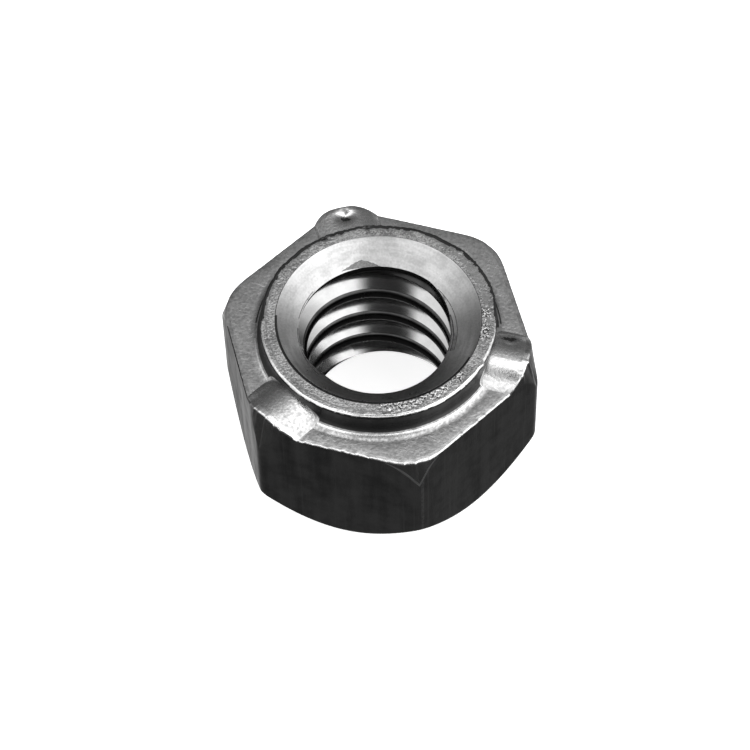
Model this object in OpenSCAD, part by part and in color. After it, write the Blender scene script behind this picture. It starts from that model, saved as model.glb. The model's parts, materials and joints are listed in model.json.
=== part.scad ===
// Hexagon weld nut: a cold-formed steel nut with a round locating collar and
// three raised weld lugs on alternate corners. One solid piece, in millimetres.
// The origin is the centre of the bottom face, +Z runs up the thread axis and
// out through the collar, and +X points at one of the lugs.

/* [Hexagon body] */
// Width across the flats
across_flats = 9.525; // [8.5:0.025:12]
// Height from the bottom face to the weld face
body_height = 5.05; // [3.5:0.05:8]
// How far each blunted corner stops short of the sharp hexagon corner
corner_blunt = 0.075; // [0.02:0.005:0.2]
// Width of the bottom chamfer, inward from the middle of each flat
bottom_chamfer_rim = 0.14; // [0.05:0.01:0.6]
// Angle between the bottom chamfer and the axis
bottom_chamfer_angle = 33; // [20:1:60]
// How far the corner chamfer cuts in at the weld face
corner_trim = 0.22; // [0.1:0.01:0.4]
// Depth of the corner chamfer below the weld face
corner_chamfer_depth = 1.05; // [0.6:0.05:2]

/* [Locating collar] */
// Outer diameter of the collar
collar_d = 7.75; // [7.5:0.05:8.2]
// Height of the collar above the weld face
collar_height = 0.81; // [0.6:0.01:1.5]
// Fillet radius between the collar's side and the weld face
collar_fillet = 0.4; // [0.1:0.05:0.45]
// Rounding radius of the collar's upper outer edge
collar_edge = 0.12; // [0.05:0.01:0.15]

/* [Thread and countersinks] */
// Major diameter of the thread
thread_d = 6.35; // [5.5:0.05:6.6]
// Pitch of the thread
thread_pitch = 1.27; // [0.8:0.01:1.5]
// How much wider than the thread the upper countersink's mouth is
top_sink_margin = 0.35; // [0.1:0.05:0.5]
// Included angle of the upper countersink
top_sink_angle = 100; // [80:5:130]
// How much wider than the thread the lower countersink's mouth is
bottom_sink_margin = 0.15; // [0.1:0.05:0.8]
// Included angle of the lower countersink
bottom_sink_angle = 120; // [80:5:130]

/* [Weld lugs] */
// Height of a lug's rounded crest above the weld face
lug_height = 0.5; // [0.2:0.05:0.7]
// Width of a lug where it meets the weld face
lug_width = 2.4; // [1.6:0.1:3]

/* [Hidden] */
$fn = 96;

// Cuts run past the surface they open by this much
overrun = 1;
lug_count = 3;
hexagon_sides = 6;
// An internal 55 degree thread with round crests is this share of its pitch smaller across them
minor_share = 1.2807;

overall_height = body_height + collar_height;
sharp_corner_r = across_flats / sqrt(3);
corner_r = sharp_corner_r - corner_blunt;
bottom_face_r = across_flats / 2 - bottom_chamfer_rim;
bottom_chamfer_height = (corner_r - bottom_face_r) / tan(bottom_chamfer_angle);
corner_slope = corner_trim / corner_chamfer_depth;
collar_r = collar_d / 2;
// A lug is the top of a cylinder that lies along the radius to its corner
lug_r = (lug_width * lug_width / 4 + lug_height * lug_height) / (2 * lug_height);
bore_r = (thread_d - minor_share * thread_pitch) / 2;
top_sink_r = (thread_d + top_sink_margin) / 2;
bottom_sink_r = (thread_d + bottom_sink_margin) / 2;
steel = [0.38, 0.38, 0.39];

// Half section of the weld face, the filleted collar foot and the rounded collar
module turned_section() {
    square([sharp_corner_r + overrun, body_height]);
    difference() {
        square([collar_r, overall_height]);
        translate([collar_r - collar_edge, overall_height - collar_edge])
            edge_waste(collar_edge);
    }
    translate([collar_r + collar_fillet, body_height + collar_fillet])
        rotate(180) edge_waste(collar_fillet);
}

// The corner of a square that a quarter circle of radius r leaves over
module edge_waste(r) {
    difference() {
        square(r);
        circle(r);
    }
}

// Rounded ridge from inside the collar out past the corner at +X, sunk by its own height
module lug_ridge() {
    translate([collar_r / 2, 0, body_height])
        rotate([90, 0, 90])
            linear_extrude(sharp_corner_r) intersection() {
                translate([0, lug_height - lug_r]) circle(lug_r);
                translate([-lug_r, -lug_height]) square([2 * lug_r, 3 * lug_height]);
            }
}

// Slab and collar before the hexagon is trimmed out of them, with the lug ridges
module formed_blank() {
    rotate_extrude() turned_section();
    for (lug = [0 : lug_count - 1])
        rotate(lug * 360 / lug_count) lug_ridge();
}

// Hexagon with its bottom chamfer, blunted corners and steep upper corner chamfer
module hexagon_envelope() {
    intersection() {
        cylinder(r = sharp_corner_r, h = overall_height + overrun, $fn = hexagon_sides);
        rotate_extrude() polygon([
            [0, 0],
            [bottom_face_r, 0],
            [corner_r, bottom_chamfer_height],
            [corner_r, body_height - corner_chamfer_depth],
            [corner_r - corner_slope * (corner_chamfer_depth + collar_height + overrun),
             overall_height + overrun],
            [0, overall_height + overrun]
        ]);
    }
}

// Tapped hole at the thread's crest diameter
module bore() {
    translate([0, 0, -overrun])
        cylinder(r = bore_r, h = overall_height + 2 * overrun);
}

// Cone that opens the bore to mouth_r at z = 0 and grows upward past it
module countersink(mouth_r, angle) {
    depth = (mouth_r - bore_r) / tan(angle / 2);
    translate([0, 0, -depth])
        cylinder(r1 = bore_r, r2 = bore_r + (depth + overrun) * tan(angle / 2), h = depth + overrun);
}

module weld_nut() {
    color(steel) difference() {
        intersection() {
            formed_blank();
            hexagon_envelope();
        }
        bore();
        translate([0, 0, overall_height]) countersink(top_sink_r, top_sink_angle);
        mirror([0, 0, 1]) countersink(bottom_sink_r, bottom_sink_angle);
    }
}

weld_nut();
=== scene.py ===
"""Looks of the hexagon weld nut: one detailed steel piece, its floor, its light and its camera.

Sizes are in millimetres until the mesh is made. The frame's +Z is the thread axis, out of the
collar, and +X points at one of the three lugs. Front, back, left and right are the camera's.
"""

import json
import math

import bpy
import numpy as np
from mathutils import Matrix, Vector


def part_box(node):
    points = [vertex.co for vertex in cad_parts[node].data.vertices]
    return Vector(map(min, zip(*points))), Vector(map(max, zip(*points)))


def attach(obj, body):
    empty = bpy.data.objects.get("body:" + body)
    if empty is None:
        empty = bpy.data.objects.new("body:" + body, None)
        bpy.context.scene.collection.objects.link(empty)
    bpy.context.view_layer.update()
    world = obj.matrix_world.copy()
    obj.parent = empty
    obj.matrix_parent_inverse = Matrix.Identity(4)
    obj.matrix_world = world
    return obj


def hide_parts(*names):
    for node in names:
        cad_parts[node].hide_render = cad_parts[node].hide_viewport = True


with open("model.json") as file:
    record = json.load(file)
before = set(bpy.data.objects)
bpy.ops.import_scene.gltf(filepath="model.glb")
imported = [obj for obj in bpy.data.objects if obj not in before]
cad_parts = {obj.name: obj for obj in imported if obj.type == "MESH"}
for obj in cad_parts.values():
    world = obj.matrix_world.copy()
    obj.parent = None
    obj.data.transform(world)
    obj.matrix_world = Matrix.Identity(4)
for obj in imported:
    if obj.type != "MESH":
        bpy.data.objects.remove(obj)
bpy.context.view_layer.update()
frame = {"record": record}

# Sizes taken from the frame
MM = 0.001
node_low, node_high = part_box("weld_nut")
thread_mount = next(m for m in frame["record"]["mounts"] if m["name"] == "thread")
ACROSS_FLATS = (node_high.y - node_low.y) / MM
OVERALL_HEIGHT = (node_high.z - node_low.z) / MM
BORE_R = thread_mount["dims"]["r_mm"]

# Angles of the hexagon and of a full turn
FULL_TURN = 2 * math.pi
CORNER_STEP = math.pi / 3
HALF_STEP = math.pi / 6

# Hexagon body
BODY_HEIGHT = 5.05
APOTHEM = ACROSS_FLATS / 2
CORNER_ROUND = 0.4
BOTTOM_CHAMFER_RIM = 0.14
BOTTOM_FACE_R = APOTHEM - BOTTOM_CHAMFER_RIM
BOTTOM_CHAMFER_ANGLE = math.radians(33)
WAIST_ROUND = 0.12
EDGE_ROUND = 0.07
# Radius of the blank's inner side, which the cutters of the hole take away
BLANK_CORE_R = 1.5

# Steep chamfer on the upper corners, which blends into the flats
CORNER_CHAMFER_R = 5.424
CORNER_CHAMFER_DEPTH = 1.05
CORNER_TRIM = 0.22
CORNER_CHAMFER_SLOPE = CORNER_TRIM / CORNER_CHAMFER_DEPTH
CORNER_BLEND = 0.2
# Its foot lies at least this far below the upper edge
SHOULDER_DROP = 0.12

# Crease along that foot. It starts where the sharp hexagon is CREASE_R away from the axis and dips
# towards the corner, with one power after a lug and another before the next one. It is rounded in
# full from a dip of CREASE_FADE on, and a painted highlight line shows along it from the dip in the
# last value on.
CREASE_R = 4.79
CREASE_POWERS = [2.0, 3.2]
CREASE_ROUND = 0.075
CREASE_FADE = 0.4
CREASE_LEAST_SHARE = 0.2
CREASE_PAINTED_LINE_DIP = 0.1

# Crown of the weld face, and how much lower its edge lies
WELD_FACE_CROWN = 0.006
RIM_DROP = 0.012

# Burr on the upper edge: reach, share of it upward, mean and swing, and the front part where it is full
# The edge there is also painted bright as a highlight
BURR = 0.08
BURR_LIFT = 0.4
BURR_MEAN = 0.55
BURR_SWING = 0.45
BURR_ELSEWHERE = 0.2
BURR_MIDDLE = math.radians(298)
BURR_REACH = math.radians(64)
# Painted shade on part of the upper edge, on the left, and how many steps of its curve carry it
PAINTED_DARK_RIM_STEPS = 3
PAINTED_DARK_RIM_MIDDLE = math.radians(211)
PAINTED_DARK_RIM_REACH = math.radians(20)
# Half width of the worn line beside each corner that has no lug
CORNER_LINE = math.radians(0.7)

# Collar and lugs
COLLAR_R = 3.875
COLLAR_FILLET = 0.4
COLLAR_EDGE = 0.12
LUG_COUNT = 3
LUG_HEIGHT = 0.5
LUG_HALF_WIDTH = 1.2
LUG_R = (LUG_HALF_WIDTH**2 + LUG_HEIGHT**2) / (2 * LUG_HEIGHT)
# Half width of each lug on its anticlockwise side, where the second one is narrower and steeper
LUG_FAR_HALF_WIDTHS = [1.2, 1.0, 1.2]
LUG_NARROW_POWER = 1.7

# Dents and bumps on the lugs: x, y, radius and height
LUG_MARKS = [(-2.6, 4.6, 0.45, 0.09), (-2.33, 4.12, 0.27, -0.15), (4.34, 0.66, 0.22, -0.09)]
# Painted highlight and painted dark reflections on the lugs, wide towards the camera's right and
# flat towards its front: x, y and half width
LUG_PAINTED_HIGHLIGHT = (-2.41, 4.28, 0.3)
LUG_PAINTED_DARK_SPOTS = [(4.3, 0.7, 0.36), (-2.27, 4.01, 0.36)]
SPOT_FLATNESS = 0.5
SPOT_ROUGHNESS = 0.25
SPOT_DARK_SHARE = 0.55
# Painted highlight on the side of the lug at +X that faces the front, whose crest's cosine is above
# the first value
PAINTED_HIGHLIGHT_COSINE = 0.99
PAINTED_HIGHLIGHT_OFFSET = -0.2

# Torn upper edge of the collar, with painted shade along it, both strongest at the back: how the
# strength falls off towards the front, the width of the strip of painted shade, and how far the edge
# is pushed out
TORN_AND_SHADE_MIDDLE = math.radians(105)
TORN_AND_SHADE_STRENGTH = 1.6
TORN_AND_SHADE_SPREAD = 0.9
PAINTED_SHADE_WIDTH = 0.11
PAINTED_SHADE_WIDTH_SWING = 0.6
PAINTED_SHADE_DARK_SHARE = 0.6
TORN_GROWTH = 0.09
TORN_ROUGHNESS = 0.022
RING_ROUGHNESS = 0.02
# Steps of the collar's edge that are dark everywhere, how many more carry painted shade where the
# tearing is strong, and the step from which the rest is as dull as the ring, the steps before it
# that are not dark being painted bright as a highlight
EDGE_DARK_STEPS = 2
EDGE_PAINTED_SHADE_STEPS = 16
EDGE_PAINTED_SHADE_ROUGHNESS = 0.05
EDGE_PAINTED_HIGHLIGHT_STEPS = 5
# Finish of the fillet's first steps, the fourth painted bright as a highlight and the fifth a little
# darker as painted shade, the later ones painted dark as shade under the collar, and the painted
# shade they take from a strength of tearing on
FILLET_FINISH_AND_PAINTED_LIGHT = ["pressed", "pressed", "pressed", "edge", "worn"]
FILLET_PAINTED_SHADE = {2: [(0.6, "worn")], 3: [(0.15, "worn"), (0.4, "collar")]}
FILLET_PAINTED_SHADE_ROUGHNESS = 0.1

# Collar's edge pushed out on the right, and a burr on it
RING_SQUEEZE = 0.12
RING_SQUEEZE_ANGLE = math.radians(45)
RING_SQUEEZE_POWER = 4
RING_BURR = 0.08
RING_BURR_ANGLE = math.radians(347.5)
RING_BURR_WIDTH = math.radians(1.5)

# Strips on the collar's ring, each this far inward from its outer edge
LINE_INWARD = 0.09
LINE_WIDTH = 0.05
LINE_ROUGHNESS = 0.02
LINE_MIDDLE = math.radians(232)
LINE_REACH = math.radians(62)
RUBBED_INWARD = 0.24
RUBBED_HALF_WIDTH = 0.09
RUBBED_ROUGHNESS = 0.06
RUBBED_MIDDLE = math.radians(38)
RUBBED_REACH = math.radians(25.84)
SCAR_INWARD = 0.3
SCAR_WIDTH = 0.3
SCAR_ROUGHNESS = 0.25
SCAR_SPANS = [(math.radians(312), math.radians(25.84)), (math.radians(12), math.radians(9.94))]

# Nicks in the ring's outer edge: x, y, radius and height
RING_NICKS = [(-2.62, 2.76, 0.09, -0.05), (-1.4, 3.55, 0.09, -0.05)]
# Random pits in the ring: first and last angle in degrees and count of each group
PIT_GROUPS = [(285, 335, 60), (0, 25, 12), (0, 360, 30)]
PIT_SEED = 11
PIT_INNER_MARGIN = 0.08
PIT_OUTER_MARGIN = 0.03
PIT_SIZES = (0.025, 0.05)
PIT_DEPTH_SHARES = (0.2, 0.5)

# Thread
PITCH = 1.27
THREAD_R = 3.175
FLANK_SLOPE = math.radians(64.5)
CREST_ROUND = 0.26
CREST_ANGLE = math.radians(105)
CREST_HEIGHT = BODY_HEIGHT - 1.12
# Turns that the cutter has beyond the nut's height, and how many of them lie below the nut
SPARE_TURNS = 4
TURNS_BELOW = 2
# The groove's middle is this high where the thread has run out, and it shrinks over this rise
RUN_OUT_HEIGHT = 5.06
RUN_OUT_SPAN = 0.2
# First crest worn away round the back of the hole: depth, height of its foot, rise and angles
LEAD_DEPTH = 0.27
LEAD_HEIGHT = 4.7
LEAD_RISE = 0.4
LEAD_BLEND = 0.08
LEAD_ANGLES = [math.radians(value) for value in (10, 65, 185, 235)]
LEAD_SHARES = [0, 1, 1, 0]

# Countersinks
TOP_SINK_R = 3.35
TOP_SINK_SLOPE = math.tan(math.radians(50))
BOTTOM_SINK_R = 3.25
BOTTOM_SINK_SLOPE = math.tan(math.radians(60))
# The upper countersink is this much wider at its mouth and leans this much towards the back
SINK_GROWTH = 0.02
SINK_LEAN = 0.08
SINK_LEAN_ANGLE = math.radians(90)
# Rounding of its mouth, with a mean share and a swing that makes it larger at the front
MOUTH_ROUND = 0.055
MOUTH_MEAN = 0.65
MOUTH_SWING = 0.35
# The second dark band of the mouth shows where the lean is below this
MOUTH_DARK_LEAN = -0.2
# Thin core that joins the two cones inside the bore, and how far the cutter runs past the nut
SINK_CORE_R = 2.2
SINK_CORE_ROUGHNESS = 0.1
CUT_PAST = 0.5
# The collar's ring is drawn this far past the countersink's mouth
RING_OVERLAP = 0.05

# Grey trace of the thread on the countersink, a facet that is painted grey as its shade instead of
# being shaped: angles, and how far up the cone it begins and ends
TRACE_ANGLES = [math.radians(value) for value in (101, 117, 133)]
TRACE_LOW = [0.2, 0.24, 0.3]
TRACE_HIGH = [0.2, 0.45, 0.3]
TRACE_ROUGHNESS = 0.012
TRACE_LEAST = 0.02
# How far up the cone the other rings of the cutter lie, below the trace and above it
CONE_STEPS_BELOW = [0.03, 0.06, 0.1, 0.135]
CONE_STEP_ABOVE = 0.55
# Rings of the cutter, counted from its bottom, with the trace, with thin scores and with wear
TRACE_RING = 7
SCORE_RINGS = (3, 5, 7)
WEAR_RINGS = (4, 6)
# Middle and reach of the two places with scores, which break off where their ripple is low
SCORE_SPANS = [(math.radians(35), math.radians(38)), (math.radians(198), math.radians(40))]
SCORE_LEAST = -0.25

# Random ripples round the axis: number of knots and seed
RIPPLES = {
    "burr": (260, 3),
    "burr_strength": (36, 5),
    "painted_lug_spot": (700, 41),
    "fillet_painted_shade": (120, 61),
    "torn_edge": (300, 17),
    "ring_edge": (60, 19),
    "painted_strip_width": (150, 23),
    "painted_shade_steps": (200, 43),
    "scar": (160, 31),
    "rubbed": (110, 67),
    "line": (40, 47),
    "sink_core": (240, 37),
    "trace": (300, 59),
    "score": (40, 71),
}

# Camera, fitted to the hexagon, the collar and the outline
PHOTO_AZIMUTH = math.radians(17.28)
PHOTO_ELEVATION = math.radians(55.34)
PHOTO_ROLL = math.radians(-1.63)
PHOTO_DISTANCE = 95.25
PHOTO_LENS = 138.57
PHOTO_AIM_RIGHT = -0.105
PHOTO_AIM_UP = -1.36
SENSOR_WIDTH = 36
CLIP_START = 0.001
FRONT = Vector((math.sin(PHOTO_AZIMUTH), -math.cos(PHOTO_AZIMUTH), 0))
RIGHT = Vector((math.cos(PHOTO_AZIMUTH), math.sin(PHOTO_AZIMUTH), 0))

# Stage in metres, with its shade and its own glow
FLOOR_HALF_SIZE = 0.56
DOME_R = 0.55
DOME_COLUMNS = 64
DOME_ROWS = 16
STAGE_SHADE = 0.9
STAGE_ROUGHNESS = 0.9
STAGE_GLOW = 0.8

# Brightness of the tent's sky by height, and its strength
SKY_STOPS = [
    (0, 0.3), (0.17, 0.52), (0.33, 0.5), (0.45, 0.52), (0.57, 0.64), (0.85, 0.85), (1, 0.95),
]
SKY_STRENGTH = 2.4
# Changes of brightness along a direction: from where, to where, first value and last value
SKY_BEHIND = (-0.65, 0.0, 0.12, 1.0)
SKY_ACROSS = (-1.0, 1.0, 0.8, 1.35)
TABLE_BEHIND = (-0.55, -0.1, 0.6, 0.07)
HORIZON = (-0.15, 0.05, 0.0, 1.0)
# Dark gaps of the sky in front: height, reach, reach of the darkest part, and brightness there
SKY_GAPS = [
    (math.radians(74), math.radians(23), math.radians(12), 0.02),
    (math.radians(8), math.radians(46), math.radians(17), 0.03),
]

# Broad blotches on the steel, and the thin lines among the streaks of its flats
BLOTCH_SCALE = 1.6
BLOTCH_DETAIL = 3.0
THIN_LINES = (0.6, 0.72, 0.0, 0.2)

# Fineness of the mesh
LUG_COLUMNS = 32
GAP_COLUMNS = 84
THREAD_COLUMNS = 240
SINK_COLUMNS = 480
FLAT_STEPS = 3
FACE_STEPS = 22
FILLET_STEPS = 10
COLLAR_SIDE_STEPS = 4
COLLAR_EDGE_STEPS = 7
RING_STEPS = 17
CREST_STEPS = 8
ROOT_STEPS = 4
RIM_ROUNDS = 6
SHARP_ANGLE = math.radians(24)

# Regions of the nut, each with its own finish, some of which also carry painted shade or painted
# highlights. The thread's two come last.
REGION_NAMES = [
    "flat", "worn", "edge", "pressed", "lug", "collar",
    "ring", "scarred", "cut", "trace", "thread", "crest",
]
REGION = {name: number for number, name in enumerate(REGION_NAMES)}


# Helpers for shapes

def ripple(angle, name, more=0):
    """Smooth random values from -1 to 1 round the axis, with a number to add to the seed."""
    knots, seed = RIPPLES[name]
    values = np.random.default_rng(seed + more).uniform(-1, 1, knots)
    place = angle % FULL_TURN / FULL_TURN * knots
    low = np.floor(place).astype(int)
    share = smooth(place - low)
    return values[low % knots] * (1 - share) + values[(low + 1) % knots] * share


def smooth(share):
    """Share from 0 to 1 with a slow start and a slow end."""
    return share * share * (3 - 2 * share)


def soft_min(first, second, blend):
    """Smaller of two values, with a smooth change from one to the other."""
    share = np.clip(0.5 + 0.5 * (second - first) / blend, 0, 1)
    return second * (1 - share) + first * share - blend * share * (1 - share)


def within(angle, middle, reach):
    """Whether angles lie within a reach on either side of a middle."""
    return np.cos(angle - middle) > math.cos(reach)


def circle_points(radius, angle, height):
    """Points at a radius, an angle and a height round the axis, one in each row."""
    return np.stack([radius * np.cos(angle), radius * np.sin(angle), height + 0 * angle], axis=1)


def bump_sum(x, y, marks):
    """Summed height of round bumps and dents at each point."""
    total = np.zeros_like(x)
    for mark_x, mark_y, radius, height in marks:
        total += height * np.exp(-((x - mark_x) ** 2 + (y - mark_y) ** 2) / radius**2)
    return total


def curve(before, here, after, size, steps=4):
    """Points of a small curve that rounds off a corner of a path, for all columns at once."""
    tiny, most = 1e-9, 0.45
    back = np.subtract(before, here)
    ahead = np.subtract(after, here)
    back_length = np.maximum(np.hypot(*back), tiny)
    ahead_length = np.maximum(np.hypot(*ahead), tiny)
    start = here + back / back_length * np.minimum(size, back_length * most)
    end = here + ahead / ahead_length * np.minimum(size, ahead_length * most)
    return [
        (1 - t) ** 2 * start + 2 * t * (1 - t) * np.array(here) + t**2 * end
        for t in np.linspace(0, 1, steps + 1)
    ]


def stretch(start, end, count):
    """Points strictly between two path points."""
    shares = np.linspace(0, 1, count + 2)[1:-1]
    return [np.array(start) * (1 - t) + np.array(end) * t for t in shares]


# Outer surface

def angle_from_corner(angle):
    """Angle to the nearest corner of the hexagon, without its sign."""
    return np.abs((angle + HALF_STEP) % CORNER_STEP - HALF_STEP)


def sharp_radius(angle):
    """Distance from the axis to the hexagon with sharp corners, at each angle."""
    return APOTHEM / np.cos(HALF_STEP - angle_from_corner(angle))


def hexagon_radius(angle):
    """Distance from the axis to the hexagon with rounded corners, at each angle."""
    from_corner = angle_from_corner(angle)
    arc_centre = (APOTHEM - CORNER_ROUND) / math.cos(HALF_STEP)
    tangent = math.atan2(CORNER_ROUND / 2, arc_centre + CORNER_ROUND * math.cos(HALF_STEP))
    inside = np.maximum(CORNER_ROUND**2 - (arc_centre * np.sin(from_corner)) ** 2, 0)
    arc = arc_centre * np.cos(from_corner) + np.sqrt(inside)
    return np.where(from_corner < tangent, arc, sharp_radius(angle))


def chamfer_radius(height):
    """Radius of the steep upper corner chamfer at a height."""
    return CORNER_CHAMFER_R - CORNER_CHAMFER_SLOPE * (height - BODY_HEIGHT + CORNER_CHAMFER_DEPTH)


def lug_rise(offset, half_width):
    """Height of a lug above the weld face at a sideways offset from its crest."""
    share = np.minimum(np.abs(offset) / half_width, 1)
    share = np.where(half_width < LUG_HALF_WIDTH, share**LUG_NARROW_POWER, share)
    return np.maximum(np.sqrt(LUG_R**2 - (share * LUG_HALF_WIDTH) ** 2) + LUG_HEIGHT - LUG_R, 0)


def lug_foot(half_width):
    """Angle from a lug's crest to its foot on the hexagon's edge."""
    across = half_width * math.cos(HALF_STEP)
    return math.atan(across / (APOTHEM - half_width * math.sin(HALF_STEP)))


class Columns:
    """Angles and rim sizes of the outer grid's columns, with one on each corner and lug foot."""

    def __init__(self):
        half = math.pi / LUG_COUNT
        angle, crest, width = [], [], []
        for k, far_half_width in enumerate(LUG_FAR_HALF_WIDTHS):
            after = self.side(far_half_width, half)
            before = self.side(LUG_HALF_WIDTH, half)[:0:-1]
            angle += [after, [half], 2 * half - before]
            crest += [0 * after, [0], 2 * half + 0 * before]
            width += [far_half_width + 0 * after, [LUG_HALF_WIDTH], LUG_HALF_WIDTH + 0 * before]
            for part in (angle, crest):
                part[-3:] = [np.asarray(piece) + 2 * half * k for piece in part[-3:]]
        self.half = half
        self.angle = np.concatenate(angle)
        self.crest = np.concatenate(crest)
        self.half_width = np.concatenate(width)
        self.foot = np.array([lug_foot(value) for value in self.half_width])
        self.turn = self.angle - self.crest
        self.flat_r = hexagon_radius(self.angle)
        self.in_lug = np.abs(self.turn) <= self.foot + 1e-9
        # A lug's height at the rim and the rim's radius depend on each other
        rise = np.zeros_like(self.angle)
        for _ in range(RIM_ROUNDS):
            chamfer_r = chamfer_radius(BODY_HEIGHT + rise)
            self.rim_r = soft_min(self.flat_r, chamfer_r, CORNER_BLEND)
            self.offset = np.where(self.in_lug, self.rim_r * np.sin(self.turn), self.half_width)
            rise = lug_rise(self.offset, self.half_width)
        self.top = BODY_HEIGHT + rise

    @staticmethod
    def side(half_width, half):
        """Turns from a lug's crest to the next corner, closer together on the lug."""
        foot = lug_foot(half_width)
        return np.concatenate([
            np.linspace(0, foot, LUG_COLUMNS, endpoint=False),
            np.linspace(foot, half, GAP_COLUMNS, endpoint=False),
        ])

    def angle_at(self, radius):
        """Column angles on the weld face at a radius, so that columns run along the lugs."""
        along = np.arcsin(np.clip(self.offset / radius, -1, 1))
        foot_here = np.arcsin(np.clip(self.half_width / radius, -1, 1))
        share = (np.abs(self.turn) - self.foot) / (self.half - self.foot)
        between = np.sign(self.turn) * (foot_here + (self.half - foot_here) * share)
        return self.crest + np.where(self.in_lug, along, between)


class Rows:
    """Rows of the outer grid, each with its points and the region of the faces that follow it."""

    def __init__(self, count):
        self.count = count
        self.points = []
        self.regions = []

    def add(self, path, angle, region):
        """Add path points (radius, height) at the columns' angles."""
        for radius, height in path:
            self.points.append(circle_points(radius, angle, height))
            self.regions.append(np.broadcast_to(region, self.count))


def crease_depth(columns):
    """How far the corner chamfer's foot dips below the weld face, at each column."""
    depth = np.maximum(sharp_radius(columns.angle) - CREASE_R, 0)
    depth = depth / (APOTHEM / math.cos(HALF_STEP) - CREASE_R)
    return CORNER_CHAMFER_DEPTH * depth ** np.where(columns.turn > 0, *CREASE_POWERS)


def upper_burr(angle, burr_and_painted_highlight):
    """Reach of the burr on the upper edge."""
    burr = np.maximum(ripple(angle, "burr"), 0)
    burr = burr * (BURR_MEAN + BURR_SWING * ripple(angle, "burr_strength"))
    return BURR * burr * np.where(burr_and_painted_highlight, 1, BURR_ELSEWHERE)


def add_body(rows, columns):
    """Bottom face, bottom chamfer, flats, corner chamfers and the upper edge with its burr."""
    angle = columns.angle
    full = np.ones_like(angle)
    depth = crease_depth(columns)
    highest = columns.top - SHOULDER_DROP
    dipped = np.minimum(BODY_HEIGHT - depth, highest)
    foot_height = np.where(columns.flat_r > CREASE_R, dipped, highest)
    burr_and_painted_highlight = within(angle, BURR_MIDDLE, BURR_REACH)
    burr = upper_burr(angle, burr_and_painted_highlight)
    waist_height = (columns.flat_r - BOTTOM_FACE_R) / math.tan(BOTTOM_CHAMFER_ANGLE)
    top = columns.top - RIM_DROP

    core = np.array([BLANK_CORE_R * full, 0 * full])
    bottom = np.array([BOTTOM_FACE_R * full, 0 * full])
    waist = np.array([columns.flat_r, waist_height])
    shoulder = np.array([columns.flat_r, foot_height])
    rim = np.array([columns.rim_r + burr, top + BURR_LIFT * burr])
    inner = np.array([columns.rim_r - 1, top])

    crease_round = CREASE_ROUND * np.clip(depth / CREASE_FADE, CREASE_LEAST_SHARE, 1)
    bottom_curve = curve(core, bottom, waist, EDGE_ROUND)
    waist_curve = curve(bottom, waist, shoulder, WAIST_ROUND)
    shoulder_curve = curve(waist, shoulder, rim, crease_round)
    rim_curve = curve(shoulder, rim, inner, EDGE_ROUND)

    # Finishes of the rows, with a painted highlight on the crease and on the burr at the front, and
    # painted shade on the left part of the upper edge
    flat, pressed, worn, edge = (REGION[name] for name in ("flat", "pressed", "worn", "edge"))
    past_corner = columns.turn - np.sign(columns.turn) * columns.half
    corner = np.where(np.abs(past_corner - CORNER_LINE) < CORNER_LINE, worn, flat)
    near_corner = np.abs(columns.turn) > columns.half / 2
    painted_crease_line = np.where((depth > CREASE_PAINTED_LINE_DIP) & near_corner, edge, flat)
    painted_dark_rim = within(angle, PAINTED_DARK_RIM_MIDDLE, PAINTED_DARK_RIM_REACH)
    lower_rim = np.where(burr_and_painted_highlight, edge, np.where(painted_dark_rim, REGION["collar"], worn))

    rows.add([core], angle, pressed)
    rows.add(bottom_curve[:-1], angle, pressed)
    rows.add(bottom_curve[-1:], angle, flat)
    rows.add(waist_curve, angle, corner)
    rows.add(stretch(waist_curve[-1], shoulder_curve[0], FLAT_STEPS), angle, corner)
    rows.add(shoulder_curve[:-1], angle, painted_crease_line)
    rows.add(shoulder_curve[-1:], angle, flat)
    rows.add(stretch(shoulder_curve[-1], rim_curve[0], FLAT_STEPS), angle, flat)
    rows.add(rim_curve[:PAINTED_DARK_RIM_STEPS], angle, lower_rim)
    rows.add(rim_curve[PAINTED_DARK_RIM_STEPS:], angle, np.where(burr_and_painted_highlight, edge, worn))
    return np.array([columns.rim_r - 2 * EDGE_ROUND, top])


def spot_distance(x, y, spot):
    """Distance of points from an oval spot's middle, which is 1 on its border."""
    along = (x - spot[0]) * RIGHT.x + (y - spot[1]) * RIGHT.y
    across = (x - spot[0]) * FRONT.x + (y - spot[1]) * FRONT.y
    return np.hypot(along, across / SPOT_FLATNESS) / spot[2]


def torn_and_shade_share(angle):
    """How much the ring's outer edge tears and has painted shade, 0 at the front and 1 at the back."""
    from_middle = (angle - TORN_AND_SHADE_MIDDLE + math.pi) % FULL_TURN - math.pi
    return np.clip(TORN_AND_SHADE_STRENGTH * np.cos(TORN_AND_SHADE_SPREAD * from_middle), 0, 1)


def fillet_path(columns):
    """Points of the collar's fillet, from the weld face or a lug's top up to the collar's side."""
    rise = columns.top - BODY_HEIGHT
    start = np.arccos(np.clip(1 - rise / COLLAR_FILLET, 0, 1))
    path = []
    for t in np.linspace(0, 1, FILLET_STEPS + 1):
        turn = start + (math.pi / 2 - start) * t
        height = BODY_HEIGHT + COLLAR_FILLET * (1 - np.cos(turn))
        radius = COLLAR_R + COLLAR_FILLET * (1 - np.sin(turn))
        path.append(np.array([radius, np.maximum(height, columns.top)]))
    return path


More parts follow.
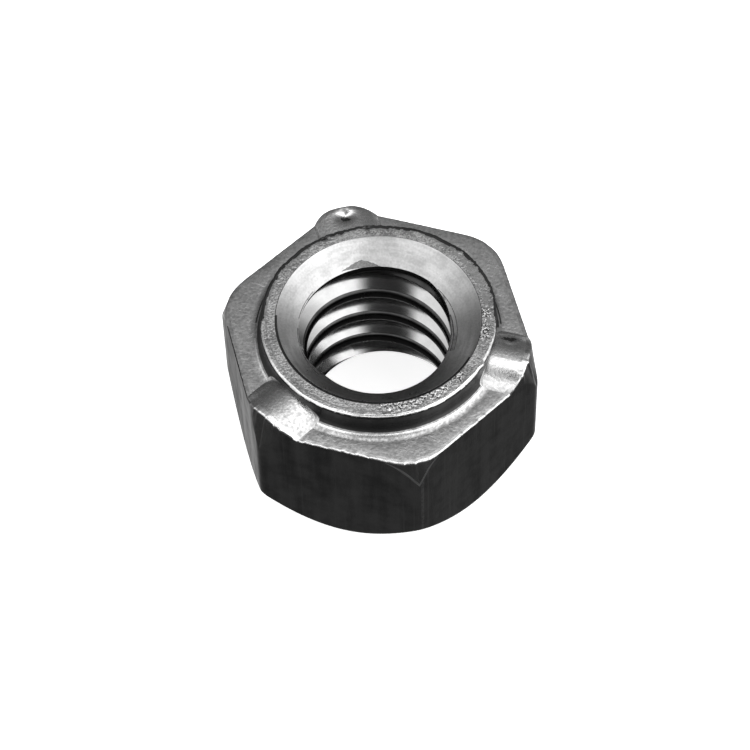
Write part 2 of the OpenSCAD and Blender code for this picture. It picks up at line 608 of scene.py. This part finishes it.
def face_region(columns, x, y, angle):
    """Finish of the weld face and lugs at one row of points, with painted highlights and dark
    reflections.
    """
    region = np.where(columns.in_lug, REGION["lug"], REGION["pressed"])
    # The +X lug's side facing the front is painted bright as a highlight
    painted_lit_side = columns.in_lug & (np.cos(columns.crest) > PAINTED_HIGHLIGHT_COSINE)
    painted_lit_side &= columns.offset < PAINTED_HIGHLIGHT_OFFSET
    # Painted highlight patch on the lug at the back
    painted_shine = spot_distance(x, y, LUG_PAINTED_HIGHLIGHT) < 1
    region = np.where(painted_lit_side | painted_shine, REGION["edge"], region)
    # Dark spots painted as the reflection of the dents, softer at their border
    for spot in LUG_PAINTED_DARK_SPOTS:
        away = spot_distance(x, y, spot) + SPOT_ROUGHNESS * ripple(angle, "painted_lug_spot")
        painted_dark_spot = np.where(away < SPOT_DARK_SHARE, REGION["collar"], REGION["worn"])
        region = np.where(away < 1, painted_dark_spot, region)
    return region


def add_weld_face(rows, columns, rim):
    """Weld face with its lugs and the fillet up to the collar."""
    fillet = fillet_path(columns)
    for place, (radius, height) in enumerate(stretch(rim, fillet[0], FACE_STEPS)):
        height = height + WELD_FACE_CROWN * math.sin(math.pi * (place + 1) / (FACE_STEPS + 1))
        angle = columns.angle_at(radius)
        x, y = radius * np.cos(angle), radius * np.sin(angle)
        region = face_region(columns, x, y, angle)
        rows.add([(radius, height + bump_sum(x, y, LUG_MARKS))], angle, region)
    torn_and_shade = torn_and_shade_share(columns.angle)
    torn_and_shade = torn_and_shade + FILLET_PAINTED_SHADE_ROUGHNESS * ripple(columns.angle, "fillet_painted_shade")
    # Steps past the list take the dark finish, painted shade under the collar
    for place, point in enumerate(fillet):
        name = FILLET_FINISH_AND_PAINTED_LIGHT[place] if place < len(FILLET_FINISH_AND_PAINTED_LIGHT) else "collar"
        region = REGION[name]
        for least, painted_shade_name in FILLET_PAINTED_SHADE.get(place, []):
            region = np.where(torn_and_shade > least, REGION[painted_shade_name], region)
        rows.add([point], columns.angle_at(point[0]), region)
    return fillet[-1]


def ring_dents():
    """Nicks and pits in the ring's top, most of them at the front right: x, y, radius and height."""
    random = np.random.default_rng(PIT_SEED)
    dents = list(RING_NICKS)
    for low, high, count in PIT_GROUPS:
        for _ in range(count):
            angle = math.radians(random.uniform(low, high))
            radius = random.uniform(TOP_SINK_R + PIT_INNER_MARGIN, COLLAR_R - PIT_OUTER_MARGIN)
            size = random.uniform(*PIT_SIZES)
            height = -random.uniform(*PIT_DEPTH_SHARES) * size
            dents.append((radius * math.cos(angle), radius * math.sin(angle), size, height))
    return dents


def collar_growth(angle, torn_and_shade):
    """How far the collar's upper edge is pushed out, at each angle."""
    growth = TORN_ROUGHNESS * torn_and_shade * ripple(angle, "torn_edge")
    growth = growth + RING_ROUGHNESS * ripple(angle, "ring_edge")
    growth += RING_BURR * np.exp(-(((angle - RING_BURR_ANGLE) / RING_BURR_WIDTH) ** 2))
    growth += TORN_GROWTH * torn_and_shade
    squeeze = np.maximum(np.cos(angle - RING_SQUEEZE_ANGLE), 0) ** RING_SQUEEZE_POWER
    return growth + RING_SQUEEZE * squeeze


def ring_region(angle, torn_and_shade, inward):
    """Finish of the collar's ring at a distance inward from its outer edge."""
    # Strip of painted shade along the ring's outer edge, darkest at its outer side
    painted_strip_width = PAINTED_SHADE_WIDTH * torn_and_shade * (1 + PAINTED_SHADE_WIDTH_SWING * ripple(angle, "painted_strip_width"))
    strip = np.where(inward < PAINTED_SHADE_DARK_SHARE * painted_strip_width, REGION["collar"], REGION["worn"])
    region = np.where(inward < painted_strip_width, strip, REGION["ring"])
    rubbed_width = RUBBED_HALF_WIDTH + RUBBED_ROUGHNESS * ripple(angle, "rubbed")
    rubbed = np.abs(inward - RUBBED_INWARD) < rubbed_width
    rubbed &= within(angle, RUBBED_MIDDLE, RUBBED_REACH)
    region = np.where(rubbed, REGION["lug"], region)
    scar_width = SCAR_WIDTH + SCAR_ROUGHNESS * ripple(angle, "scar")
    scarred = np.abs(inward - SCAR_INWARD) < 0.5 * scar_width
    scarred &= np.any([within(angle, *span) for span in SCAR_SPANS], axis=0)
    region = np.where(scarred, REGION["scarred"], region)
    line_inward = LINE_INWARD + LINE_ROUGHNESS * ripple(angle, "line")
    lined = np.abs(inward - line_inward) < 0.5 * LINE_WIDTH
    lined &= within(angle, LINE_MIDDLE, LINE_REACH)
    return np.where(lined, REGION["worn"], region)


def add_collar(rows, columns, foot):
    """Collar side, its rough upper edge and the pitted ring."""
    full = np.ones_like(columns.angle)
    angle = columns.angle_at(COLLAR_R * full)
    shoulder = np.array([COLLAR_R * full, (OVERALL_HEIGHT - COLLAR_EDGE) * full])
    rows.add(stretch(foot, shoulder, COLLAR_SIDE_STEPS) + [shoulder], angle, REGION["collar"])
    torn_and_shade = torn_and_shade_share(angle)
    growth = collar_growth(angle, torn_and_shade)
    # More steps of the collar's edge are painted dark as shade where the tearing is strong
    painted_shade_steps = torn_and_shade - EDGE_PAINTED_SHADE_ROUGHNESS + EDGE_PAINTED_SHADE_ROUGHNESS * ripple(angle, "painted_shade_steps")
    dark_steps = EDGE_DARK_STEPS + EDGE_PAINTED_SHADE_STEPS * painted_shade_steps
    for place, t in enumerate(np.linspace(0, math.pi / 2, COLLAR_EDGE_STEPS + 1)[1:]):
        edge_r = COLLAR_R - COLLAR_EDGE * (1 - math.cos(t)) + growth * math.sin(t)
        height = OVERALL_HEIGHT - COLLAR_EDGE * (1 - math.sin(t)) * full
        # Steps after the dark ones are painted bright as a highlight until the dull ring begins
        painted_edge_highlight = REGION["edge"] if place < EDGE_PAINTED_HIGHLIGHT_STEPS else REGION["ring"]
        region = np.where(place < dark_steps, REGION["collar"], painted_edge_highlight)
        rows.add([(edge_r, height)], angle, region)
    dents = ring_dents()
    mouth_r = TOP_SINK_R - RING_OVERLAP
    for t in np.linspace(0, 1, RING_STEPS + 1)[1:]:
        across = edge_r * (1 - t) + mouth_r * t
        dent = bump_sum(across * np.cos(angle), across * np.sin(angle), dents)
        region = ring_region(angle, torn_and_shade, edge_r - across)
        rows.add([(across, OVERALL_HEIGHT + dent)], angle, region)
    rows.add([(BLANK_CORE_R * full, OVERALL_HEIGHT * full)], angle, REGION["ring"])


def make_mesh(name, points, faces, regions):
    """Mesh in metres from points in millimetres, with a material number for each face."""
    mesh = bpy.data.meshes.new(name)
    mesh.from_pydata((np.asarray(points) * MM).tolist(), [], faces)
    mesh.polygons.foreach_set("material_index", np.asarray(regions, dtype=np.int32))
    mesh.update()
    return mesh


def band_faces(low, high, count):
    """Faces between two closed rings of points, whose first points have these numbers."""
    here = np.arange(count)
    after = (here + 1) % count
    return np.stack([low + here, low + after, high + after, high + here], axis=1).tolist()


def blank_mesh():
    """The nut before its hole is cut: a closed ring of rows around a thin core."""
    columns = Columns()
    count = len(columns.angle)
    rows = Rows(count)
    rim = add_body(rows, columns)
    foot = add_weld_face(rows, columns, rim)
    add_collar(rows, columns, foot)
    faces = []
    for row in range(len(rows.points)):
        faces += band_faces(row * count, (row + 1) % len(rows.points) * count, count)
    return make_mesh("blank", np.concatenate(rows.points), faces, np.concatenate(rows.regions))


# Hole

def thread_profile():
    """Points (height, radius) of one turn with round crests and roots, up from a crest's middle."""
    depth = THREAD_R - BORE_R
    sharp_depth = PITCH / 2 * math.tan(FLANK_SLOPE)
    both_rounds = (sharp_depth - depth) / (1 / math.cos(FLANK_SLOPE) - 1)
    root_round = both_rounds - CREST_ROUND
    points = []
    for t in np.linspace(0, FLANK_SLOPE, CREST_STEPS):
        points.append((CREST_ROUND * math.sin(t), BORE_R + CREST_ROUND * (1 - math.cos(t))))
    for t in np.linspace(-FLANK_SLOPE, 0, ROOT_STEPS):
        height = PITCH / 2 + root_round * math.sin(t)
        points.append((height, THREAD_R - root_round * (1 - math.cos(t))))
    upper = [(PITCH - height, radius) for height, radius in points[-2:0:-1]]
    return np.array(points + upper)


def tap_mesh():
    """Closed screw-shaped cutter for the right-hand thread, which fades out in the upper countersink."""
    profile = thread_profile()
    per_turn = len(profile)
    turns = math.ceil(OVERALL_HEIGHT / PITCH) + SPARE_TURNS
    low_turn = CREST_HEIGHT - PITCH * math.floor(CREST_HEIGHT / PITCH + TURNS_BELOW)
    row = np.arange(turns * per_turn)
    column = np.arange(THREAD_COLUMNS)
    angle = CREST_ANGLE + FULL_TURN * column / THREAD_COLUMNS
    climb = PITCH * column[:, None] / THREAD_COLUMNS
    lift = profile[row % per_turn, 0] + PITCH * (row // per_turn)
    height = low_turn + lift[None, :] + climb
    groove = low_turn + PITCH * (row // per_turn + 0.5)[None, :] + climb
    fade = smooth(np.clip((RUN_OUT_HEIGHT - groove) / RUN_OUT_SPAN, 0, 1))
    radius = np.broadcast_to(profile[row % per_turn, 1], height.shape)
    radius = BORE_R + (radius - BORE_R) * fade
    lead = np.interp(angle % FULL_TURN, LEAD_ANGLES, LEAD_SHARES)[:, None]
    lead = LEAD_DEPTH * lead * smooth(np.clip((height - LEAD_HEIGHT) / LEAD_RISE, 0, 1))
    radius = -soft_min(-radius, -BORE_R - lead, LEAD_BLEND)
    points = np.stack([
        radius * np.cos(angle)[:, None], radius * np.sin(angle)[:, None], height,
    ], axis=2).reshape(-1, 3)
    rows = len(row)
    # The crest's rows are painted dark as shade
    from_crest = np.minimum(row % per_turn, per_turn - 1 - row % per_turn)
    row_regions = np.where(from_crest < CREST_STEPS - 1, REGION["crest"], REGION["thread"])
    faces = []
    regions = []
    for k in range(THREAD_COLUMNS):
        step = per_turn if k == THREAD_COLUMNS - 1 else 0
        near = k * rows + np.arange(rows - 1 - step)
        far = (k + 1) % THREAD_COLUMNS * rows + np.arange(rows - 1 - step) + step
        faces += np.stack([near, far, far + 1, near + 1], axis=1).tolist()
        regions += row_regions[:len(near)].tolist()
    # Loops along the ragged ends, each closed to a point on the axis
    bottom = [k * rows for k in range(THREAD_COLUMNS)] + list(range(per_turn, 0, -1))
    last = (THREAD_COLUMNS - 1) * rows
    top = [k * rows + rows - 1 for k in range(THREAD_COLUMNS)]
    top += [last + rows - 2 - j for j in range(per_turn)]
    bottom_point = len(points)
    points = np.concatenate([points, [[0, 0, height.min() - 1], [0, 0, height.max() + 1]]])
    for k, here in enumerate(bottom):
        faces.append([bottom_point, bottom[(k + 1) % len(bottom)], here])
    for k, here in enumerate(top):
        faces.append([bottom_point + 1, here, top[(k + 1) % len(top)]])
    regions += [REGION["thread"]] * (len(bottom) + len(top))
    return make_mesh("tap", points, faces, regions)


def sink_profile(angle, lean, trace_low, trace_high):
    """Path (radius, height) of the countersink's cutter, up from the bottom, at each angle."""
    mouth_r = TOP_SINK_R + SINK_GROWTH + SINK_LEAN * lean
    edge = MOUTH_ROUND * (MOUTH_MEAN - MOUTH_SWING * lean)
    depth = (TOP_SINK_R - BORE_R) / TOP_SINK_SLOPE
    slope = depth / (mouth_r - BORE_R)
    core_top = OVERALL_HEIGHT - (TOP_SINK_R - SINK_CORE_R) / TOP_SINK_SLOPE
    profile = [
        (BOTTOM_SINK_R + CUT_PAST * BOTTOM_SINK_SLOPE, -CUT_PAST),
        (SINK_CORE_R, (BOTTOM_SINK_R - SINK_CORE_R) / BOTTOM_SINK_SLOPE),
        (SINK_CORE_R + SINK_CORE_ROUGHNESS * ripple(angle, "sink_core"), core_top),
    ]
    for step in CONE_STEPS_BELOW + [trace_low, trace_high, CONE_STEP_ABOVE]:
        height = OVERALL_HEIGHT - depth + step / TOP_SINK_SLOPE
        profile.append((BORE_R + step / slope / TOP_SINK_SLOPE, height))
    return profile + [
        (mouth_r - 2 * edge, OVERALL_HEIGHT - 2 * edge * slope),
        (mouth_r - edge, OVERALL_HEIGHT - edge * slope),
        (mouth_r + 0.3 * edge, OVERALL_HEIGHT - 0.3 * edge),
        (mouth_r + 1.2 * edge, OVERALL_HEIGHT + 0.1 * edge),
        (mouth_r + 1.2 * edge + CUT_PAST, OVERALL_HEIGHT + CUT_PAST),
    ]


def sink_mesh():
    """Closed cutter with the two countersink cones joined by a thin core, flared at the upper mouth."""
    angle = np.linspace(0, FULL_TURN, SINK_COLUMNS, endpoint=False)
    lean = np.cos(angle - SINK_LEAN_ANGLE)
    trace_low = np.interp(angle, TRACE_ANGLES, TRACE_LOW, period=FULL_TURN)
    trace_high = np.interp(angle, TRACE_ANGLES, TRACE_HIGH, period=FULL_TURN)
    trace_high = trace_high + TRACE_ROUGHNESS * ripple(angle, "trace")
    painted_trace = trace_high > trace_low + TRACE_LEAST
    trace_high = np.maximum(trace_high, trace_low + TRACE_LEAST)
    scored = np.any([within(angle, *span) for span in SCORE_SPANS], axis=0)
    profile = sink_profile(angle, lean, trace_low, trace_high)
    points = [[0, 0, -CUT_PAST], [0, 0, OVERALL_HEIGHT + CUT_PAST]]
    for radius, height in profile:
        points += circle_points(radius, angle, height).tolist()
    faces = []
    regions = []
    for ring in range(len(profile) - 1):
        low = 2 + ring * SINK_COLUMNS
        faces += band_faces(low, low + SINK_COLUMNS, SINK_COLUMNS)
        from_mouth = len(profile) - 3 - ring
        dark = (from_mouth == 0) | ((from_mouth == 1) & (lean < MOUTH_DARK_LEAN))
        region = np.where(dark, REGION["collar"], REGION["cut"])
        marked = scored & (ripple(angle, "score", ring) > SCORE_LEAST)
        if ring in SCORE_RINGS:
            region = np.where(marked, REGION["trace"], region)
        if ring in WEAR_RINGS:
            region = np.where(marked, REGION["worn"], region)
        # The trace's facet is painted grey as shade
        if ring == TRACE_RING:
            region = np.where(painted_trace, REGION["trace"], region)
        regions += region.tolist()
    here = np.arange(SINK_COLUMNS)
    after = (here + 1) % SINK_COLUMNS
    last = 2 + (len(profile) - 1) * SINK_COLUMNS
    faces += np.stack([0 * here, 2 + after, 2 + here], axis=1).tolist()
    faces += np.stack([0 * here + 1, last + here, last + after], axis=1).tolist()
    regions += [REGION["cut"]] * 2 * SINK_COLUMNS
    return make_mesh("sink", points, faces, regions)


def add_object(name, data):
    """Object that holds a mesh or a camera, linked to the scene."""
    made = bpy.data.objects.new(name, data)
    bpy.context.scene.collection.objects.link(made)
    return made


def mark_sharp(mesh):
    """Smooth shading, with sharp edges where the surface turns quickly or the thread begins."""
    mesh.polygons.foreach_set("use_smooth", np.ones(len(mesh.polygons), dtype=bool))
    mesh.set_sharp_from_angle(angle=SHARP_ANGLE)
    edges = np.empty(len(mesh.loops), dtype=np.int32)
    sizes = np.empty(len(mesh.polygons), dtype=np.int32)
    regions = np.empty(len(mesh.polygons), dtype=np.int32)
    sharp = np.empty(len(mesh.edges), dtype=bool)
    mesh.loops.foreach_get("edge_index", edges)
    mesh.polygons.foreach_get("loop_total", sizes)
    mesh.polygons.foreach_get("material_index", regions)
    mesh.edges.foreach_get("use_edge_sharp", sharp)
    threaded = np.repeat(regions >= REGION["thread"], sizes)
    threaded = np.bincount(edges[threaded], minlength=len(sharp))
    mesh.edges.foreach_set("use_edge_sharp", sharp | (threaded == 1))


def build_nut(materials):
    """The finished nut: the blank with its thread and countersinks cut."""
    blank = add_object("blank", blank_mesh())
    cutters = [add_object("tap", tap_mesh()), add_object("sink", sink_mesh())]
    for made in [blank] + cutters:
        for name in REGION_NAMES:
            made.data.materials.append(materials[name])
    for cutter in cutters:
        cut = blank.modifiers.new(cutter.name, "BOOLEAN")
        cut.operation = "DIFFERENCE"
        cut.solver = "MANIFOLD"
        cut.object = cutter
    graph = bpy.context.evaluated_depsgraph_get()
    mesh = bpy.data.meshes.new_from_object(blank.evaluated_get(graph))
    for made in [blank] + cutters:
        bpy.data.objects.remove(made)
    mesh.name = "weld_nut_body"
    mark_sharp(mesh)
    return add_object("weld_nut_body", mesh)


# Materials

class Nodes:
    """Short way to add and join a material's nodes."""

    def __init__(self, tree):
        self.tree = tree

    def add(self, kind, **settings):
        """New node with its settings."""
        node = self.tree.nodes.new("ShaderNode" + kind)
        for name, value in settings.items():
            setattr(node, name, value)
        return node

    def join(self, source, target):
        """Link an output to an input, or set a plain value on the input."""
        if isinstance(source, bpy.types.NodeSocket):
            self.tree.links.new(source, target)
        else:
            target.default_value = source

    def math(self, operation, first, second=0.0):
        """Sum, product or other result of two values."""
        node = self.add("Math", operation=operation)
        self.join(first, node.inputs[0])
        self.join(second, node.inputs[1])
        return node.outputs["Value"]

    def dot(self, vector, direction):
        """Share of a vector along a fixed direction."""
        node = self.add("VectorMath", operation="DOT_PRODUCT")
        self.join(vector, node.inputs[0])
        self.join(direction, node.inputs[1])
        return node.outputs["Value"]

    def fit(self, value, low, high, to_low, to_high):
        """Value moved smoothly from one range to another."""
        node = self.add("MapRange", interpolation_type="SMOOTHSTEP")
        names = ("Value", "From Min", "From Max", "To Min", "To Max")
        for name, given in zip(names, (value, low, high, to_low, to_high)):
            self.join(given, node.inputs[name])
        return node.outputs["Result"]

    def ramp(self, value, stops):
        """Value read from a list of (place, result) stops."""
        node = self.add("ValToRGB")
        elements = node.color_ramp.elements
        while len(elements) < len(stops):
            elements.new(0.5)
        for element, (place, result) in zip(elements, stops):
            element.position = place
            element.color = (result, result, result, 1)
        self.join(value, node.inputs["Fac"])
        return node.outputs["Color"]

    def noise(self, vector, scale, detail=5.0):
        """Noise value at a vector."""
        node = self.add("TexNoise")
        self.join(vector, node.inputs["Vector"])
        self.join(scale, node.inputs["Scale"])
        self.join(detail, node.inputs["Detail"])
        return node.outputs["Fac"]


def stretched_place(nodes, per_mm):
    """Place on the nut in millimetres, times a frequency along each axis."""
    place = nodes.add("TexCoord").outputs["Object"]
    scaled = nodes.add("VectorMath", operation="MULTIPLY")
    nodes.join(place, scaled.inputs[0])
    nodes.join([value / MM for value in per_mm], scaled.inputs[1])
    return scaled.outputs["Vector"]


def turned_place(nodes, round_share, across):
    """Place that changes slowly round the axis and fast across it, for marks left by turning."""
    place = stretched_place(nodes, (1, 1, 0))
    unit = nodes.add("VectorMath", operation="NORMALIZE")
    nodes.join(place, unit.inputs[0])
    around = nodes.add("VectorMath", operation="SCALE")
    nodes.join(unit.outputs["Vector"], around.inputs[0])
    nodes.join(round_share, around.inputs["Scale"])
    length = nodes.add("VectorMath", operation="LENGTH")
    nodes.join(place, length.inputs[0])
    lifted = nodes.add("CombineXYZ")
    nodes.join(nodes.math("MULTIPLY", length.outputs["Value"], across), lifted.inputs["Z"])
    total = nodes.add("VectorMath", operation="ADD")
    nodes.join(around.outputs["Vector"], total.inputs[0])
    nodes.join(lifted.outputs["Vector"], total.inputs[1])
    return total.outputs["Vector"]


def steel(name, shades, roughness, relief, pattern, spread=0.2, blotchy=0.35):
    """Bare steel whose shade, roughness and fine relief in millimetres follow a pattern of noise."""
    material = bpy.data.materials.new(name)
    material.use_nodes = True
    nodes = Nodes(material.node_tree)
    shader = material.node_tree.nodes["Principled BSDF"]
    shader.inputs["Metallic"].default_value = 1
    fine = pattern(nodes)
    blotch = nodes.noise(stretched_place(nodes, (1, 1, 1)), BLOTCH_SCALE, BLOTCH_DETAIL)
    fine_part = nodes.math("MULTIPLY", fine, 1 - blotchy)
    both = nodes.math("ADD", fine_part, nodes.math("MULTIPLY", blotch, blotchy))
    limits = 0.5 - spread, 0.5 + spread
    shade = nodes.ramp(nodes.fit(both, *limits, 0.0, 1.0), [(0, shades[0]), (1, shades[1])])
    nodes.join(shade, shader.inputs["Base Color"])
    nodes.join(nodes.fit(both, *limits, roughness[1], roughness[0]), shader.inputs["Roughness"])
    bump = nodes.add("Bump")
    bump.inputs["Distance"].default_value = relief * MM
    nodes.join(fine, bump.inputs["Height"])
    nodes.join(bump.outputs["Normal"], shader.inputs["Normal"])
    return material


def grain(scale):
    """Pattern of even grains."""
    return lambda nodes: nodes.noise(stretched_place(nodes, (1, 1, 1)), scale)


def streaks(across, along):
    """Pattern of streaks along the axis, with a few thin bright lines."""
    def pattern(nodes):
        broad = nodes.noise(stretched_place(nodes, (across, across, along)), 1.0)
        finer = stretched_place(nodes, (3 * across, 3 * across, along / 2))
        thin = nodes.noise(finer, 1.0, 2.0)
        return nodes.math("ADD", broad, nodes.fit(thin, *THIN_LINES))
    return pattern


def turning(round_share, across):
    """Pattern of rings round the axis."""
    return lambda nodes: nodes.noise(turned_place(nodes, round_share, across), 1.0)


def machined(scale, round_share, across):
    """Pattern of grains crossed by rings round the axis."""
    def pattern(nodes):
        rings = nodes.noise(turned_place(nodes, round_share, across), 1.0)
        grains = nodes.noise(stretched_place(nodes, (1, 1, 1)), scale)
        return nodes.math("MULTIPLY", nodes.math("ADD", rings, grains), 0.5)
    return pattern


def make_materials():
    """One steel finish for each region of the nut, some also used for painted shade or highlights."""
    return {
        "flat": steel("dark_flat", (0.12, 0.31), (0.32, 0.46), 0.004, streaks(2.2, 0.2), 0.17, 0.45),
        # Wear, also used for milder painted shade on the fillet, the collar's edge and round the lugs'
        # spots
        "worn": steel("worn_and_painted_shade", (0.2, 0.5), (0.3, 0.45), 0.004, grain(8.0)),
        # Burrs, also used for painted highlights on edges, the crease, the lugs and the fillet
        "edge": steel("burred_edge_and_painted_highlight", (0.6, 0.92), (0.2, 0.32), 0.006, grain(9.0)),
        "pressed": steel("pressed_face", (0.3, 0.6), (0.26, 0.4), 0.01, grain(10.0), 0.17),
        "lug": steel("burnished_lug", (0.34, 0.68), (0.22, 0.36), 0.008, grain(11.0), 0.2),
        # Dark collar side, also used for painted shade under and along the collar, on the left rim and
        # in the lugs' spots
        "collar": steel("dark_collar_and_painted_shade", (0.04, 0.08), (0.35, 0.5), 0.004, turning(2.0, 6.0)),
        "ring": steel("pitted_ring", (0.24, 0.66), (0.28, 0.42), 0.02, grain(17.0), 0.12),
        "scarred": steel("scarred_ring", (0.08, 0.9), (0.25, 0.45), 0.05, grain(14.0), 0.09, 0.1),
        "cut": steel(
            "cut_countersink", (0.38, 0.56), (0.27, 0.37), 0.006, machined(14.0, 3.0, 9.0), 0.16,
        ),
        "trace": steel("thread_trace", (0.1, 0.18), (0.2, 0.3), 0.002, grain(12.0)),
        "thread": steel("cut_thread", (0.34, 0.42), (0.1, 0.16), 0.002, turning(5.0, 3.0)),
        # Crests painted nearly black as shade
        "crest": steel("thread_crest_painted_shade", (0.04, 0.08), (0.2, 0.3), 0.002, turning(5.0, 3.0)),
    }


# Stage, light and camera

def pale_material(name):
    """Pale studio surface that shines a little, so that it stays even."""
    material = bpy.data.materials.new(name)
    material.use_nodes = True
    shader = material.node_tree.nodes["Principled BSDF"]
    shader.inputs["Base Color"].default_value = (STAGE_SHADE, STAGE_SHADE, STAGE_SHADE, 1)
    shader.inputs["Roughness"].default_value = STAGE_ROUGHNESS
    shader.inputs["Emission Color"].default_value = (1, 1, 1, 1)
    shader.inputs["Emission Strength"].default_value = STAGE_GLOW
    return material


def add_floor():
    """Pale floor under the nut."""
    size = FLOOR_HALF_SIZE
    mesh = bpy.data.meshes.new("floor")
    corners = [(-size, -size, 0), (size, -size, 0), (size, size, 0), (-size, size, 0)]
    mesh.from_pydata(corners, [], [(0, 1, 2, 3)])
    mesh.materials.append(pale_material("pale_floor"))
    return add_object("floor", mesh)


def add_backdrop():
    """Pale dome over the nut and its floor, for views near the floor."""
    turn = np.arange(DOME_COLUMNS) * FULL_TURN / DOME_COLUMNS
    points = []
    faces = []
    for row in range(DOME_ROWS + 1):
        lift = math.pi / 2 * row / DOME_ROWS
        points += circle_points(DOME_R * math.cos(lift), turn, DOME_R * math.sin(lift)).tolist()
        if row < DOME_ROWS:
            faces += band_faces(row * DOME_COLUMNS, (row + 1) * DOME_COLUMNS, DOME_COLUMNS)
    mesh = bpy.data.meshes.new("backdrop")
    mesh.from_pydata(points, [], faces)
    mesh.materials.append(pale_material("pale_backdrop"))
    return add_object("backdrop", mesh)


def add_stage():
    """Floor and backdrop, which only the camera sees, so that the light comes from the tent."""
    for made in (add_floor(), add_backdrop()):
        made.visible_glossy = False
        made.visible_diffuse = False
        made.visible_shadow = False


def add_tent():
    """World light like a studio tent: bright above and at the sides, with two dark gaps in front."""
    world = bpy.data.worlds.new("tent")
    bpy.context.scene.world = world
    world.use_nodes = True
    nodes = Nodes(world.node_tree)
    background = world.node_tree.nodes["Background"]
    background.inputs["Color"].default_value = (1, 1, 1, 1)
    direction = nodes.add("TexCoord").outputs["Generated"]
    up = nodes.dot(direction, (0, 0, 1))
    ahead = nodes.dot(direction, FRONT)
    # Sky: brighter with height, dimmer behind the nut and a little brighter on the right
    sky = nodes.math("MULTIPLY", nodes.ramp(up, SKY_STOPS), SKY_STRENGTH)
    sky = nodes.math("MULTIPLY", sky, nodes.fit(ahead, *SKY_BEHIND))
    sky = nodes.math("MULTIPLY", sky, nodes.fit(nodes.dot(direction, RIGHT), *SKY_ACROSS))
    for height, wide, narrow, dimmest in SKY_GAPS:
        middle = FRONT * math.cos(height) + Vector((0, 0, math.sin(height)))
        limits = math.cos(wide), math.cos(narrow)
        gap = nodes.fit(nodes.dot(direction, middle), *limits, 1.0, dimmest)
        sky = nodes.math("MULTIPLY", sky, gap)
    # Table: dark in front of the nut and paler behind it
    table = nodes.fit(ahead, *TABLE_BEHIND)
    mixed = nodes.add("Mix")
    nodes.join(nodes.fit(up, *HORIZON), mixed.inputs["Factor"])
    nodes.join(table, mixed.inputs["A"])
    nodes.join(sky, mixed.inputs["B"])
    nodes.join(mixed.outputs["Result"], background.inputs["Strength"])


def add_camera():
    """Camera at the photograph's place and angle."""
    back = FRONT * math.cos(PHOTO_ELEVATION) + Vector((0, 0, math.sin(PHOTO_ELEVATION)))
    upright = back.cross(RIGHT)
    right = math.cos(PHOTO_ROLL) * RIGHT + math.sin(PHOTO_ROLL) * upright
    up = -math.sin(PHOTO_ROLL) * RIGHT + math.cos(PHOTO_ROLL) * upright
    aim = Vector((0, 0, BODY_HEIGHT)) + PHOTO_AIM_RIGHT * right + PHOTO_AIM_UP * up
    data = bpy.data.cameras.new("camera")
    data.lens = PHOTO_LENS
    data.sensor_width = SENSOR_WIDTH
    data.clip_start = CLIP_START
    camera = add_object("camera", data)
    turn = Matrix((right, up, back)).transposed().to_4x4()
    camera.matrix_world = Matrix.Translation((aim + PHOTO_DISTANCE * back) * MM) @ turn
    bpy.context.scene.camera = camera


nut = build_nut(make_materials())
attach(nut, "root")
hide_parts("weld_nut")

add_stage()
add_tent()
add_camera()
bpy.context.scene.view_settings.view_transform = "Standard"
